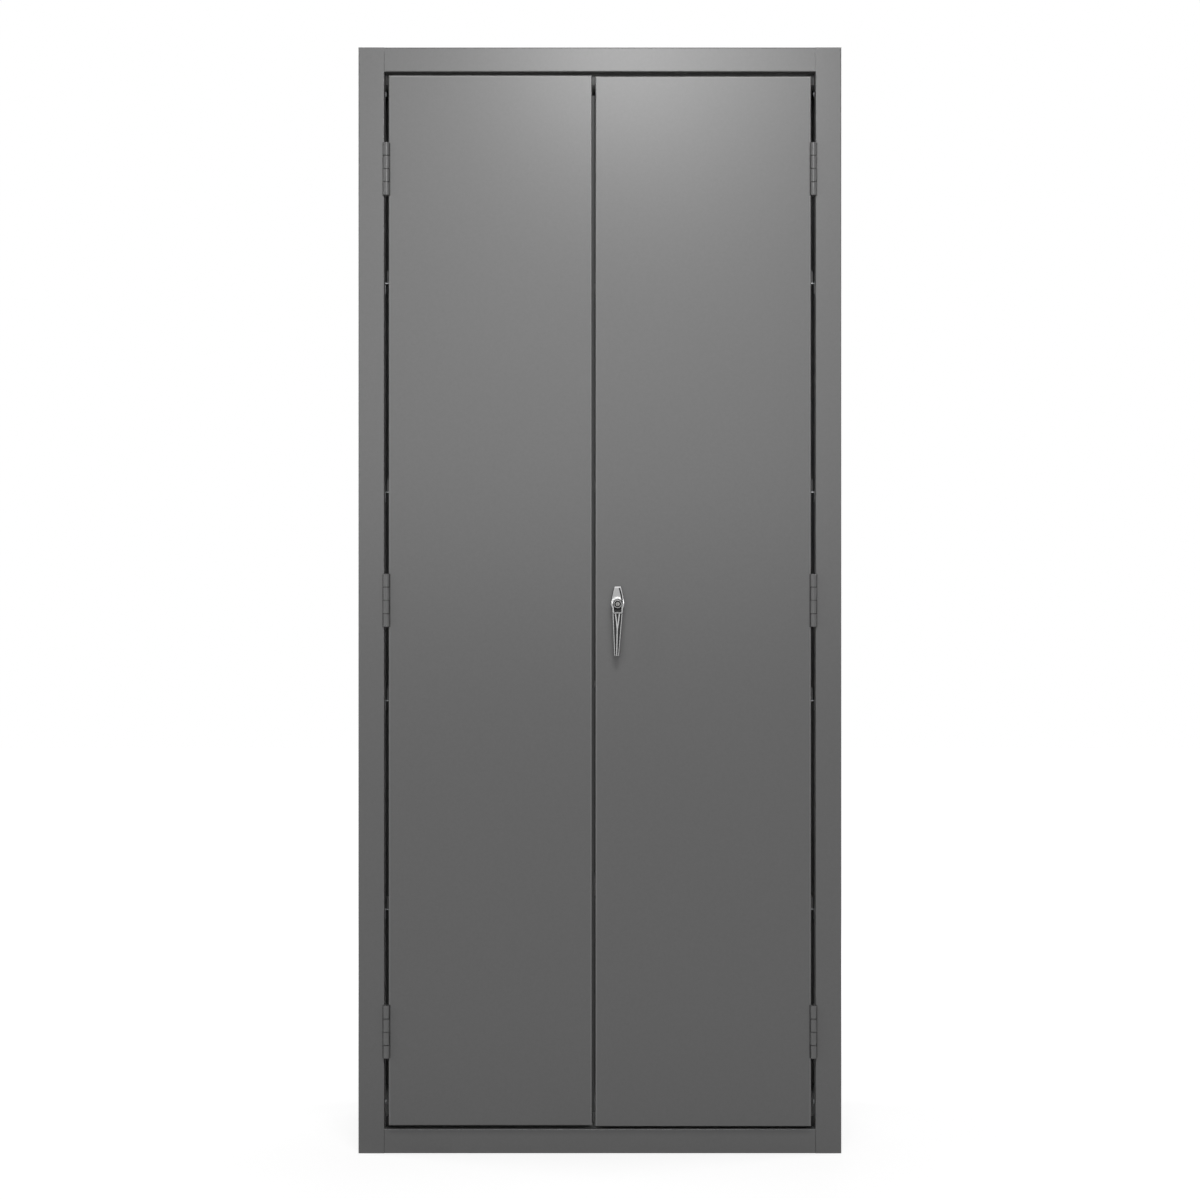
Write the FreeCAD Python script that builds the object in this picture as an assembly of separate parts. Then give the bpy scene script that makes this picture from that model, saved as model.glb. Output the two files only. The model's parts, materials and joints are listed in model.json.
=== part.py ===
import FreeCAD, Part
import math
import os

# A two-door steel tool cabinet, in millimetres. x runs to the right as seen from the front,
# y runs back from the plane of the frame's front face, and z runs up from the floor.
# Every solid is moved by front_y when it is written, so that the origin is on the floor
# under the middle of the whole cabinet, handle included.
vec = FreeCAD.Vector

# Cabinet body
body_width = 932.0
body_height = 2134.0
body_depth = 610.0
sheet = 1.5
inner_bend = 0.5
weld_seam = 0.2
cut_overrun = 5.0

# Front frame
post_width = 50.0
top_rail_height = 47.0
bottom_rail_height = 47.0
jamb_depth = 30.0
rail_lip_depth = 45.0
base_lip = 25.0
rear_return = 20.0
back_flange = 15.0
deck_flange = 20.0
flare_width = 5.0
flare_height = 13.0
lower_flare_height = 6.5
flare_bow = 0.72

# Doors
door_thickness = 25.0
door_lip = 15.0
side_gap = 8.4
gap_above = 6.8
gap_below = 6.8
right_door_drop = 1.8
meeting_gap = 6.6
meeting_offset = 12.0
stiffener_width = 50.0
stiffener_depth = 18.0
stiffener_flange = 15.0
stiffener_end_gap = 0.5
strip_reach = 5.0
strip_hold = 13.0
strip_stop_gap = 8.0

# Door stops and bumpers
stop_height = 21.0
stop_gap = 3.0
stop_foot = 15.0
stop_notch = 20.0
bumper_radius = 4.0
bumper_gap = 0.3
bumper_inset = 6.5
bumper_from_edge = 28.0
bumper_past_latch = 84.0

# Hinges
hinge_height = 102.0
hinge_inset = 235.0
knuckle_count = 4
knuckle_radius = 6.5
knuckle_gap = 0.9
hinge_stand_out = 5.0
hinge_pin_radius = 3.2
running_play = 0.05
leaf_thickness = 2.5
leaf_front = 2.0
leaf_depth = 22.0

# Slotted uprights, their bolts and the shelf clips
upright_inset = 3.0
upright_width = 40.0
upright_setback = 15.0
upright_rear_gap = 5.0
upright_top_gap = 2.0
slot_pitch = 25.4
slot_width = 5.0
slot_height = 12.0
first_slot_height = 28.0
clip_width = 16.0
clip_tab = 17.0
clip_below_slot = 10.0
clip_above_slot = 10.0
hook_play = 0.4
hook_drop = 5.0
bolt_head_radius = 5.0
bolt_head_height = 3.5
bolt_shank_radius = 3.0
bolt_length = 12.0
bolt_from_slot = 16.0
bolt_from_head = 58.3

# Shelves
shelf_count = 4
shelf_height = 25.0
shelf_lip = 12.0
shelf_end_gap = 1.0
shelf_setback = 60.0
shelf_rear_gap = 15.0

# Handle, lock and spindle, placed from the hub on the right door
handle_height = 1060.0
handle_from_edge = 42.8
hub_radius = 13.0
hub_front = 38.0
collar_radius = 10.2
hub_gap = 0.5
rose_radius = 12.6
rose_thickness = 9.0
spindle_radius = 6.0
spindle_seat = 9.0
moving_gap = 0.3
rose_screw_radius = 1.75
rose_screw_offset = 9.4
rose_screw_depth = 6.0
screw_head_height = 2.2
screw_head_radius = 3.2
hole_play = 0.2
tail_top = 34.6
tail_top_half = 6.5
tail_root_half = 12.9
tail_root = 2.5
tail_shoulder = 15.5
tail_shoulder_half = 11.4
tail_bevel = 4.2
tail_back = 12.0
tail_bevel_back = 20.0
tail_bevel_front = 24.0
tail_front = 34.0
tail_front_top = 12.0
arm_length = 99.8
arm_root_half = 10.6
arm_end_half = 4.8
arm_lean = 2.0
arm_root = 6.0
arm_end_front = 41.0
arm_end_back = 31.0
arm_back = 26.0
arm_back_start = 24.0
rim_width = 2.1
rib_width = 2.4
groove_floor = 34.5
groove_start = 19.0
groove_end_gap = 1.2
fork_bottom = 50.0
fork_spread = 4.9
fork_inner_spread = 2.5
fork_pocket_bottom = 44.0
recess_half = 6.6
lock_ring_radius = 7.6
lock_ring_front = 43.0
lock_ring_thickness = 1.2
lock_ring_round = 0.5
lock_body_radius = 7.0
lock_body_back = 20.0
dish_radius = 6.4
dish_depth = 2.4
plug_radius = 4.0
plug_recess = 1.6
plug_length = 19.0
keyway_width = 1.2
keyway_height = 5.6
keyway_depth = 7.0

# Latch: channel, bush, cam, nut, rods and guides
channel_width = 40.0
bush_radius = 8.5
bush_length = 6.0
bush_flange_radius = 10.5
bush_flange = 1.0
cam_gap = 2.0
cam_thickness = 3.0
cam_margin = 4.7
cam_square = 8.0
latch_travel = 16.0
latch_turn = 90.0
pin_reach = 32.0
rod_pin_radius = 3.0
rod_gap = 0.5
rod_width = 12.7
rod_thickness = 4.8
rod_end_margin = 6.0
rod_tip_gap = 1.5
rod_tip_chamfer = 2.5
rod_pin_overhang = 0.4
washer_radius = 9.0
washer_thickness = 1.2
nut_flats = 13.0
nut_height = 5.5
nut_sides = 6
stud_radius = 3.9
stud_overhang = 2.5
guide_width = 24.0
guide_height = 24.0
guide_from_end = 50.0
guide_cap = 2.4
guide_foot_width = 38.0
guide_foot = 3.0
guide_screw_radius = 1.7
guide_screw_length = 8.0
spiral_points = 13
half_turn = 180.0

# Places that follow from the sizes above
outer_bend = inner_bend + sheet
half_width = body_width / 2
inner_half = half_width - sheet
opening_half = half_width - post_width
opening_bottom = bottom_rail_height
opening_top = body_height - top_rail_height
deck_underside = body_height - sheet
back_inner_y = body_depth - 2 * sheet
front_y = -(body_depth - lock_ring_front) / 2

left_door_x = (-(opening_half - side_gap), -meeting_offset - meeting_gap / 2)
right_door_x = (-meeting_offset + meeting_gap / 2, opening_half - side_gap)
left_door_z = (opening_bottom + gap_below, opening_top - gap_above)
right_door_z = (left_door_z[0] - right_door_drop, left_door_z[1] - right_door_drop)

stop_front = door_thickness + stop_gap
stop_back = stop_front + sheet
hinge_x = opening_half - side_gap / 2
hinge_zs = {"upper": body_height - hinge_inset, "middle": body_height / 2, "lower": hinge_inset}

web_half = opening_half + upright_inset
upright_top = deck_underside - deck_flange - upright_top_gap
front_upright_y = jamb_depth + upright_setback
rear_upright_y = back_inner_y - back_flange - upright_rear_gap - upright_width
shelf_pitch_slots = int((opening_top - opening_bottom) / (shelf_count + 1) / slot_pitch)
shelf_half = opening_half - shelf_end_gap
shelf_y = (shelf_setback, back_inner_y - shelf_rear_gap)

hub_x = right_door_x[0] + handle_from_edge
hub_z = handle_height
hub_back = rose_thickness + hub_gap
cam_front = door_thickness + cam_gap
cam_back = cam_front + cam_thickness
cam_radius = pin_reach + rod_pin_radius + cam_margin
rod_front = cam_back + rod_gap
rod_back = rod_front + rod_thickness
washer_back = cam_back + washer_thickness
nut_back = washer_back + nut_height
top_stop_edge = opening_top - stop_height
bottom_stop_edge = opening_bottom + stop_height
guide_screw_spacing = guide_width + 2 * (screw_head_radius + moving_gap)


def block(x_span, y_span, z_span):
    """A box between two places on each axis."""
    size = [span[1] - span[0] for span in (x_span, y_span, z_span)]
    return Part.makeBox(*size, vec(x_span[0], y_span[0], z_span[0]))


def barrel(radius, axis, centre, span):
    """A cylinder along one axis; centre holds its two other coordinates in x, y, z order."""
    start = plane_point(axis, centre[0], centre[1], span[0])
    direction = plane_point(axis, 0, 0, 1)
    return Part.makeCylinder(radius, span[1] - span[0], start, direction)


def plane_point(axis, u, v, along):
    """A point from two coordinates in the plane across an axis and one along it."""
    if axis == "x":
        return vec(along, u, v)
    if axis == "y":
        return vec(u, along, v)
    return vec(u, v, along)


def rounded_wire(axis, corners, radii, along):
    """A closed outline with a tangent arc at each corner that has a radius."""
    flat = [vec(u, v, 0) for u, v in corners]
    turns = []
    for index, corner in enumerate(flat):
        to_last = (flat[index - 1] - corner).normalize()
        to_next = (flat[(index + 1) % len(flat)] - corner).normalize()
        radius = radii[index]
        if radius == 0:
            turns.append((corner, None, corner))
            continue
        half_angle = to_last.getAngle(to_next) / 2
        reach = radius / math.tan(half_angle)
        bisector = (to_last + to_next).normalize()
        middle = corner + bisector * (radius / math.sin(half_angle) - radius)
        turns.append((corner + to_last * reach, middle, corner + to_next * reach))

    def placed(point):
        return plane_point(axis, point.x, point.y, along)

    edges = []
    for index, (entry, middle, leave) in enumerate(turns):
        if middle is not None:
            edges.append(Part.Arc(placed(entry), placed(middle), placed(leave)).toShape())
        following = turns[(index + 1) % len(turns)][0]
        edges.append(Part.LineSegment(placed(leave), placed(following)).toShape())
    return Part.Wire(edges)


def prism(axis, corners, span, radii=None):
    """An outline in the plane across an axis, drawn out along that axis."""
    wire = rounded_wire(axis, corners, radii or [0] * len(corners), span[0])
    return Part.Face(wire).extrude(plane_point(axis, 0, 0, span[1] - span[0]))


def folded(axis, path, span):
    """Bent sheet along an axis: path is one of its two skins, and the metal lies to its left."""
    points = [vec(u, v, 0) for u, v in path]
    runs = [(after - before).normalize() for before, after in zip(points, points[1:])]
    lefts = [vec(-run.y, run.x, 0) for run in runs]
    others = [points[0] + lefts[0] * sheet]
    path_radii = [0]
    other_radii = [0]
    for index in range(1, len(points) - 1):
        before, after = lefts[index - 1], lefts[index]
        shift = (before + after) * (sheet / (1 + before.dot(after)))
        others.append(points[index] + shift)
        turns_left = runs[index - 1].cross(runs[index]).z > 0
        path_radii.append(outer_bend if turns_left else inner_bend)
        other_radii.append(inner_bend if turns_left else outer_bend)
    others.append(points[-1] + lefts[-1] * sheet)
    path_radii.append(0)
    other_radii.append(0)
    corners = [(point.x, point.y) for point in points + others[::-1]]
    return prism(axis, corners, span, path_radii + other_radii[::-1])


def mirrored(shape):
    """The same shape on the other side of the cabinet's middle plane."""
    return shape.mirror(vec(0, 0, 0), vec(1, 0, 0))


def moved(shape, x=0, y=0, z=0):
    """A copy of a shape at another place."""
    copy = shape.copy()
    copy.translate(vec(x, y, z))
    return copy


def joined(shapes):
    """One solid from shapes that touch or cross, without the seams between them."""
    return shapes[0].multiFuse(shapes[1:]).removeSplitter()


def rounded_face_edges(solid, axis, place, radius):
    """Rounds the edges of the face that lies at one place on an axis."""
    def lies_there(vertex):
        return abs(getattr(vertex.Point, axis) - place) < weld_seam
    edges = [edge for edge in solid.Edges if all(lies_there(vertex) for vertex in edge.Vertexes)]
    return solid.makeFillet(radius, edges)


def tray(size_spans, open_axis, closed_place, open_place, lip):
    """A folded sheet tray: a skin at one place on an axis, four walls and lips at the other."""
    spans = dict(zip("xyz", size_spans))
    inward = 1 if open_place > closed_place else -1
    spans[open_axis] = tuple(sorted((closed_place, open_place)))
    outer = rounded_face_edges(block(*spans.values()), open_axis, closed_place, outer_bend)
    inner_spans = {name: (span[0] + sheet, span[1] - sheet) for name, span in spans.items()}
    hollow = block(*inner_spans.values())
    hollow = rounded_face_edges(hollow, open_axis, closed_place + inward * sheet, inner_bend)
    window_spans = {name: (span[0] + lip, span[1] - lip) for name, span in spans.items()}
    window_ends = (closed_place + inward * 2 * sheet, open_place + inward * cut_overrun)
    window_spans[open_axis] = tuple(sorted(window_ends))
    return outer.cut(hollow).cut(block(*window_spans.values()))


def screw(axis, centre, head_at, tip_at, head_radius, head_height, shank_radius):
    """A round-headed screw whose head sits on head_at and whose shank ends at tip_at."""
    away = -1 if tip_at > head_at else 1
    head_end = head_at + away * head_height
    head = barrel(head_radius, axis, centre, tuple(sorted((head_at, head_end))))
    head = rounded_face_edges(head, axis, head_end, head_height / 2)
    return joined([head, barrel(shank_radius, axis, centre, tuple(sorted((head_at, tip_at))))])


def flare(rail_edge, height, direction):
    """The small curved corner where a rail spreads over the post beside it."""
    side = opening_half - weld_seam
    tip = vec(side + flare_width, 0, rail_edge)
    foot = vec(side, 0, rail_edge - direction * height)
    middle = vec(side + flare_width * (1 - flare_bow), 0, foot.z + direction * height * flare_bow)
    curve = Part.Arc(foot, middle, tip).toShape()
    top = Part.LineSegment(tip, vec(side - weld_seam, 0, rail_edge)).toShape()
    inside = Part.LineSegment(vec(side - weld_seam, 0, rail_edge), vec(side - weld_seam, 0, foot.z)).toShape()
    base = Part.LineSegment(vec(side - weld_seam, 0, foot.z), foot).toShape()
    return Part.Face(Part.Wire([curve, top, inside, base])).extrude(vec(0, sheet, 0))


def right_flares():
    """The rail corners on the right: a tall one under the deck, a short one at the floor."""
    return [flare(deck_underside, flare_height, 1), flare(sheet, lower_flare_height, -1)]


def left_side_panel():
    """Side wall with the front post, the rear return and a lip to stand on, in one sheet."""
    post_edge = -opening_half - weld_seam / 2
    wall = [(-half_width + rear_return, body_depth), (-half_width, body_depth), (-half_width, 0)]
    plain_path = wall + [(post_edge, 0)]
    jamb_path = wall + [(-opening_half, 0), (-opening_half, jamb_depth)]
    lip = block((-inner_half, -inner_half + base_lip), (outer_bend, body_depth - 2 * outer_bend), (0, sheet))
    panel = joined([
        folded("z", plain_path, (0, opening_bottom)),
        folded("z", jamb_path, (opening_bottom, opening_top)),
        folded("z", plain_path, (opening_top, deck_underside)),
        lip,
    ])
    for corner in right_flares():
        panel = panel.cut(moved(mirrored(corner), x=-weld_seam))
    return panel


def back_panel():
    """Back wall, folded forward at both sides against the side walls."""
    back = body_depth - sheet
    front = back_inner_y - back_flange
    path = [(inner_half, front), (inner_half, back), (-inner_half, back), (-inner_half, front)]
    return folded("z", path, (sheet, deck_underside))


def top_panel(neighbours):
    """Deck, front rail with its lip, corner flares, and flanges inside the other walls."""
    side = opening_half - weld_seam
    path = [(body_depth, body_height), (0, body_height), (0, opening_top), (rail_lip_depth, opening_top)]
    edge_plate = block((side, half_width), (0, body_depth), (deck_underside, body_height))
    flange_z = (deck_underside - deck_flange, deck_underside)
    flange_y = (rail_lip_depth, back_inner_y - back_flange - weld_seam)
    side_flange = block((inner_half - sheet, inner_half), flange_y, flange_z)
    rear_y = (back_inner_y - sheet, back_inner_y)
    rear_flange = block((-inner_half + sheet, inner_half - sheet), rear_y, flange_z)
    right = [edge_plate, side_flange, right_flares()[0]]
    shapes = [folded("x", path, (-side, side)), rear_flange] + right + [mirrored(shape) for shape in right]
    panel = joined(shapes)
    for neighbour in neighbours:
        panel = panel.cut(neighbour)
    return panel


def bottom_panel(neighbours):
    """Floor of the cabinet with the bottom rail, its base lip and flanges turned down."""
    side = opening_half - weld_seam
    deck = opening_bottom
    path = [
        (back_inner_y, deck - deck_flange), (back_inner_y, deck), (0, deck), (0, 0), (base_lip, 0),
    ]
    flange_end = back_inner_y - back_flange - weld_seam
    edge_plate = block((side, inner_half), (sheet, flange_end), (deck - sheet, deck))
    rear_plate = block((side, inner_half - outer_bend), (flange_end, back_inner_y), (deck - sheet, deck))
    flange_z = (deck - deck_flange, deck)
    side_flange = block((inner_half - sheet, inner_half), (outer_bend, flange_end), flange_z)
    right = [edge_plate, rear_plate, side_flange, right_flares()[1]]
    panel = joined([folded("x", path, (-side, side))] + right + [mirrored(shape) for shape in right])
    for neighbour in neighbours:
        panel = panel.cut(neighbour)
    return panel


def door_stop(edge, inward):
    """Angle that the doors close against; inward is +1 where its leg stands up, -1 where it hangs."""
    leg_z = tuple(sorted((edge, edge + inward * stop_height)))
    leg = block((-shelf_half, shelf_half), (stop_front, stop_back), leg_z)
    foot_z = tuple(sorted((edge, edge + inward * sheet)))
    foot = block((-shelf_half, shelf_half), (stop_front, stop_front + stop_foot), foot_z)
    return joined([leg, foot])


def bottom_door_stop():
    """The lower stop, with its leg cut away where the doors meet."""
    notch_x = (-meeting_offset - stop_notch / 2, -meeting_offset + stop_notch / 2)
    notch_y = (stop_front - cut_overrun, stop_back + cut_overrun)
    notch_z = (opening_bottom + sheet, bottom_stop_edge + cut_overrun)
    return door_stop(opening_bottom, 1).cut(block(notch_x, notch_y, notch_z))


def door_bumpers():
    """Rubber buttons on the stops, just clear of the closed doors."""
    places = [left_door_x[0] + bumper_from_edge, left_door_x[1] - bumper_from_edge]
    places += [right_door_x[0] + bumper_past_latch, right_door_x[1] - bumper_from_edge]
    heights = [bottom_stop_edge - bumper_inset, top_stop_edge + bumper_inset]
    span = (door_thickness + bumper_gap, stop_front)
    return [barrel(bumper_radius, "y", (x, z), span) for x in places for z in heights]


def upright():
    """Slotted channel at the left front, standing on the cabinet's floor."""
    y_front = front_upright_y
    y_back = front_upright_y + upright_width
    path = [(-inner_half, y_front), (-web_half, y_front), (-web_half, y_back), (-inner_half, y_back)]
    channel = folded("z", path, (opening_bottom, upright_top))
    middle = (y_front + y_back) / 2
    slots = []
    centre = opening_bottom + first_slot_height
    while centre + slot_pitch / 2 < upright_top:
        slot_y = (middle - slot_width / 2, middle + slot_width / 2)
        slot_z = (centre - slot_height / 2, centre + slot_height / 2)
        slots.append(block((-web_half - sheet - cut_overrun, -web_half + cut_overrun), slot_y, slot_z))
        centre += slot_pitch
    channel = channel.cut(Part.makeCompound(slots))
    for z in upright_bolt_heights():
        hole_radius = bolt_shank_radius + hole_play
        span = (-web_half - sheet - cut_overrun, -web_half + cut_overrun)
        channel = channel.cut(barrel(hole_radius, "x", (bolt_y(), z), span))
    return channel


def bolt_y():
    """Bolts stand beside the column of slots, towards the front."""
    return front_upright_y + (upright_width / 2 - slot_width) / 2 + sheet


def upright_bolt_heights():
    """One bolt near the foot and one near the head of each upright."""
    return [opening_bottom + first_slot_height + bolt_from_slot, upright_top - bolt_from_head]


def upright_bolts():
    """The bolts of all four uprights."""
    bolts = []
    for z in upright_bolt_heights():
        bolt = screw("x", (bolt_y(), z), -web_half, -web_half - bolt_length,
                     bolt_head_radius, bolt_head_height, bolt_shank_radius)
        for shape in (bolt, moved(bolt, y=rear_upright_y - front_upright_y)):
            bolts += [shape, mirrored(shape)]
    return bolts


def shelf_base(number):
    """Height of the underside of one shelf, counted from the lowest."""
    slot = opening_bottom + first_slot_height + (number * shelf_pitch_slots - 1) * slot_pitch
    return slot + clip_above_slot


def shelf_clips(number):
    """Four bent clips, hooked into the slots, that carry one shelf."""
    base = shelf_base(number)
    slot = base - clip_above_slot
    middle = front_upright_y + upright_width / 2
    clip_y = (middle - clip_width / 2, middle + clip_width / 2)
    hook_y = (middle - slot_width / 2 + hook_play, middle + slot_width / 2 - hook_play)
    hook_x = -web_half - sheet - hook_play
    plate = block((-web_half, -web_half + sheet), clip_y, (slot - clip_below_slot, base))
    tab = block((-web_half, -web_half + clip_tab), clip_y, (base - sheet, base))
    tongue_z = (slot - slot_height / 2 + hook_play, slot + slot_height / 2 - hook_play)
    tongue = block((hook_x - sheet, -web_half), hook_y, tongue_z)
    hook = block((hook_x - sheet, hook_x), hook_y, (tongue_z[0] - hook_drop, tongue_z[1]))
    clip = joined([plate, tab, tongue, hook])
    pair = [clip, moved(clip, y=rear_upright_y - front_upright_y)]
    return pair + [mirrored(shape) for shape in pair]


def shelf(number):
    """Shelf tray, open underneath, resting on its clips."""
    base = shelf_base(number)
    spans = ((-shelf_half, shelf_half), shelf_y, None)
    return tray(spans, "z", base + shelf_height, base, shelf_lip)


def hinge_leaf(owned, on_door, centre_z):
    """One leaf of a left-hand hinge with the knuckles that it owns, counted from the top."""
    if on_door:
        leaf_x = (-(opening_half - side_gap) - leaf_thickness, -(opening_half - side_gap))
    else:
        leaf_x = (-opening_half, -opening_half + leaf_thickness)
    top = centre_z + hinge_height / 2
    step = hinge_height / knuckle_count
    shapes = [block(leaf_x, (leaf_front, leaf_front + leaf_depth), (top - hinge_height, top))]
    for index in owned:
        knuckle_z = (top - (index + 1) * step + knuckle_gap / 2, top - index * step - knuckle_gap / 2)
        shapes.append(barrel(knuckle_radius, "z", (-hinge_x, -hinge_stand_out), knuckle_z))
        shapes.append(block(leaf_x, (-hinge_stand_out, leaf_front), knuckle_z))
    bore_span = (top - hinge_height - cut_overrun, top + cut_overrun)
    bore = barrel(hinge_pin_radius + running_play, "z", (-hinge_x, -hinge_stand_out), bore_span)
    return joined(shapes).cut(bore)


def hinge_pins():
    """One pin through each hinge, as long as its knuckles."""
    pins = []
    for centre_z in hinge_zs.values():
        span = (centre_z - hinge_height / 2, centre_z + hinge_height / 2)
        pin = barrel(hinge_pin_radius, "z", (-hinge_x, -hinge_stand_out), span)
        pins += [pin, mirrored(pin)]
    return pins


def hat(centre_x, width, crown_y, z_span):
    """Hat-shaped stiffener: two flanges on the door's skin and a crown at crown_y."""
    left, right = centre_x - width / 2, centre_x + width / 2
    path = [
        (left - stiffener_flange, sheet), (left, sheet), (left, crown_y - sheet),
        (right, crown_y - sheet), (right, sheet), (right + stiffener_flange, sheet),
    ]
    return folded("z", path, z_span)


def door_stiffener(x_span, z_span):
    """Stiffener down the middle of one door."""
    centre_x = (x_span[0] + x_span[1]) / 2
    inset = outer_bend + stiffener_end_gap
    inside = (z_span[0] + inset, z_span[1] - inset)
    return hat(centre_x, stiffener_width, sheet + stiffener_depth, inside)


def meeting_strip():
    """Flat strip on the left door's rear lip that closes the view through the middle gap."""
    edge = left_door_x[1]
    strip_z = (bottom_stop_edge + strip_stop_gap, top_stop_edge - stop_height)
    return block((edge - strip_hold, edge + strip_reach), (door_thickness, door_thickness + sheet), strip_z)


def right_door_panel():
    """Right door with holes for the spindle and the screws of the handle's rose."""
    panel = tray((right_door_x, None, right_door_z), "y", 0, door_thickness, door_lip)
    span = (-cut_overrun, sheet + cut_overrun)
    panel = panel.cut(barrel(spindle_radius + moving_gap, "y", (hub_x, hub_z), span))
    for side in (-1, 1):
        centre = (hub_x + side * rose_screw_offset, hub_z)
        panel = panel.cut(barrel(rose_screw_radius + hole_play, "y", centre, span))
    return panel


def latch_channel():
    """Deep hat behind the handle that holds the spindle bush and the rod guides."""
    ends = (right_door_z[0] + door_lip, right_door_z[1] - door_lip)
    channel = hat(hub_x, channel_width, door_thickness, ends)
    span = (door_thickness - sheet - cut_overrun, door_thickness + cut_overrun)
    channel = channel.cut(barrel(bush_radius + running_play, "y", (hub_x, hub_z), span))
    for centre_z in guide_heights().values():
        for side in (-1, 1):
            centre = (hub_x + side * guide_screw_spacing / 2, centre_z)
            channel = channel.cut(barrel(guide_screw_radius + hole_play, "y", centre, span))
    return channel


def handle_rose():
    """Round seat on the door's face, bored for the spindle and drilled from behind."""
    rose = barrel(rose_radius, "y", (hub_x, hub_z), (-rose_thickness, 0))
    span = (-rose_thickness - cut_overrun, cut_overrun)
    rose = rose.cut(barrel(spindle_radius + running_play, "y", (hub_x, hub_z), span))
    for side in (-1, 1):
        centre = (hub_x + side * rose_screw_offset, hub_z)
        hole_span = (-rose_screw_depth - hole_play, cut_overrun)
        rose = rose.cut(barrel(rose_screw_radius + hole_play, "y", centre, hole_span))
    return rose


def rose_screws():
    """Two screws driven from inside the door into the rose."""
    centres = [(hub_x + side * rose_screw_offset, hub_z) for side in (-1, 1)]
    return [
        screw("y", centre, sheet, -rose_screw_depth, screw_head_radius, screw_head_height, rose_screw_radius)
        for centre in centres
    ]


def spindle_bush():
    """Flanged nylon bush in the channel's crown."""
    centre = (hub_x, hub_z)
    crown = door_thickness
    bush = joined([
        barrel(bush_radius, "y", centre, (crown - bush_length, crown)),
        barrel(bush_flange_radius, "y", centre, (crown, crown + bush_flange)),
    ])
    span = (crown - bush_length - cut_overrun, crown + bush_flange + cut_overrun)
    return bush.cut(barrel(spindle_radius + running_play, "y", centre, span))


def arm_edge(depth, half_root, half_end, side):
    """Horizontal place of a line that runs down the arm, at one depth below the hub."""
    share = (depth - arm_root) / (arm_length - arm_root)
    return hub_x + side * (half_root + (half_end - half_root) * share) - arm_lean * share


def handle_arm():
    """Lever arm below the hub, before its grooves are cut."""
    outline = [
        (arm_edge(depth, arm_root_half, arm_end_half, side), hub_z - depth)
        for depth, side in ((arm_root, -1), (arm_root, 1), (arm_length, 1), (arm_length, -1))
    ]
    profile = [
        (-hub_front, hub_z), (-hub_front, hub_z - arm_root), (-arm_end_front, hub_z - arm_length),
        (-arm_end_back, hub_z - arm_length), (-arm_back, hub_z - arm_back_start),
        (-hub_back, hub_z - arm_root), (-hub_back, hub_z),
    ]
    face_on = prism("y", outline, (-arm_end_front - cut_overrun, 0))
    side_on = prism("x", profile, (hub_x - 2 * hub_radius, hub_x + 2 * hub_radius))
    return face_on.common(side_on)


def handle_tail():
    """Sloping tail above the hub, with a bevel at its tip."""
    right = [
        (hub_x + tail_root_half, hub_z + tail_root), (hub_x + tail_shoulder_half, hub_z + tail_shoulder),
        (hub_x + tail_top_half, hub_z + tail_top),
    ]
    left = [(2 * hub_x - x, z) for x, z in reversed(right)]
    profile = [
        (-tail_back, hub_z), (-hub_front, hub_z), (-tail_front, hub_z + tail_front_top),
        (-tail_bevel_front, hub_z + tail_top - tail_bevel), (-tail_bevel_back, hub_z + tail_top),
        (-tail_back, hub_z + tail_top),
    ]
    face_on = prism("y", right + left, (-hub_front - cut_overrun, 0))
    side_on = prism("x", profile, (hub_x - 2 * hub_radius, hub_x + 2 * hub_radius))
    return face_on.common(side_on)


def groove(side):
    """Hollow between one rim of the arm and the forked rib in its middle."""
    def rim(depth):
        return arm_edge(depth, arm_root_half - rim_width, arm_end_half - rim_width, side)

    def rib(depth):
        return arm_edge(depth, rib_width / 2, rib_width / 2, side)
    end = arm_length - groove_end_gap
    corners = [
        (rim(groove_start), hub_z - groove_start),
        (hub_x + side * fork_spread, hub_z - groove_start),
        (rib(fork_bottom), hub_z - fork_bottom),
        (rib(end), hub_z - end),
        (rim(end), hub_z - end),
    ]
    return prism("y", corners, (-arm_end_front - cut_overrun, -groove_floor))


def fork_pocket():
    """Small wedge between the two upper arms of the rib."""
    corners = [
        (hub_x - fork_inner_spread, hub_z - groove_start), (hub_x + fork_inner_spread, hub_z - groove_start),
        (arm_edge(fork_pocket_bottom, 0, 0, 1), hub_z - fork_pocket_bottom),
    ]
    return prism("y", corners, (-arm_end_front - cut_overrun, -groove_floor))


def ring_recess():
    """Dark hollow between the lock's ring and the fork of the rib."""
    corners = [
        (hub_x - recess_half, hub_z), (hub_x + recess_half, hub_z),
        (hub_x + recess_half, hub_z - groove_start + rib_width),
        (hub_x - recess_half, hub_z - groove_start + rib_width),
    ]
    hollow = prism("y", corners, (-arm_end_front - cut_overrun, -groove_floor))
    collar = barrel(collar_radius, "y", (hub_x, hub_z), (-arm_end_front - cut_overrun, 0))
    return hollow.cut(collar)


def handle_lever():
    """Cast lever: hub, sloping tail and ribbed arm, bored for the lock and the spindle."""
    centre = (hub_x, hub_z)
    hub = barrel(hub_radius, "y", centre, (-hub_front, -hub_back))
    collar = barrel(collar_radius, "y", centre, (-lock_ring_front + lock_ring_thickness, -hub_back))
    lever = joined([hub, collar, handle_tail(), handle_arm()])
    for hollow in (groove(-1), groove(1), fork_pocket(), ring_recess()):
        lever = lever.cut(hollow)
    lock_span = (-lock_ring_front - cut_overrun, -lock_body_back)
    lever = lever.cut(barrel(lock_body_radius + running_play, "y", centre, lock_span))
    spindle_span = (-hub_back - spindle_seat, -hub_back + cut_overrun)
    return lever.cut(barrel(spindle_radius + running_play, "y", centre, spindle_span))


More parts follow.
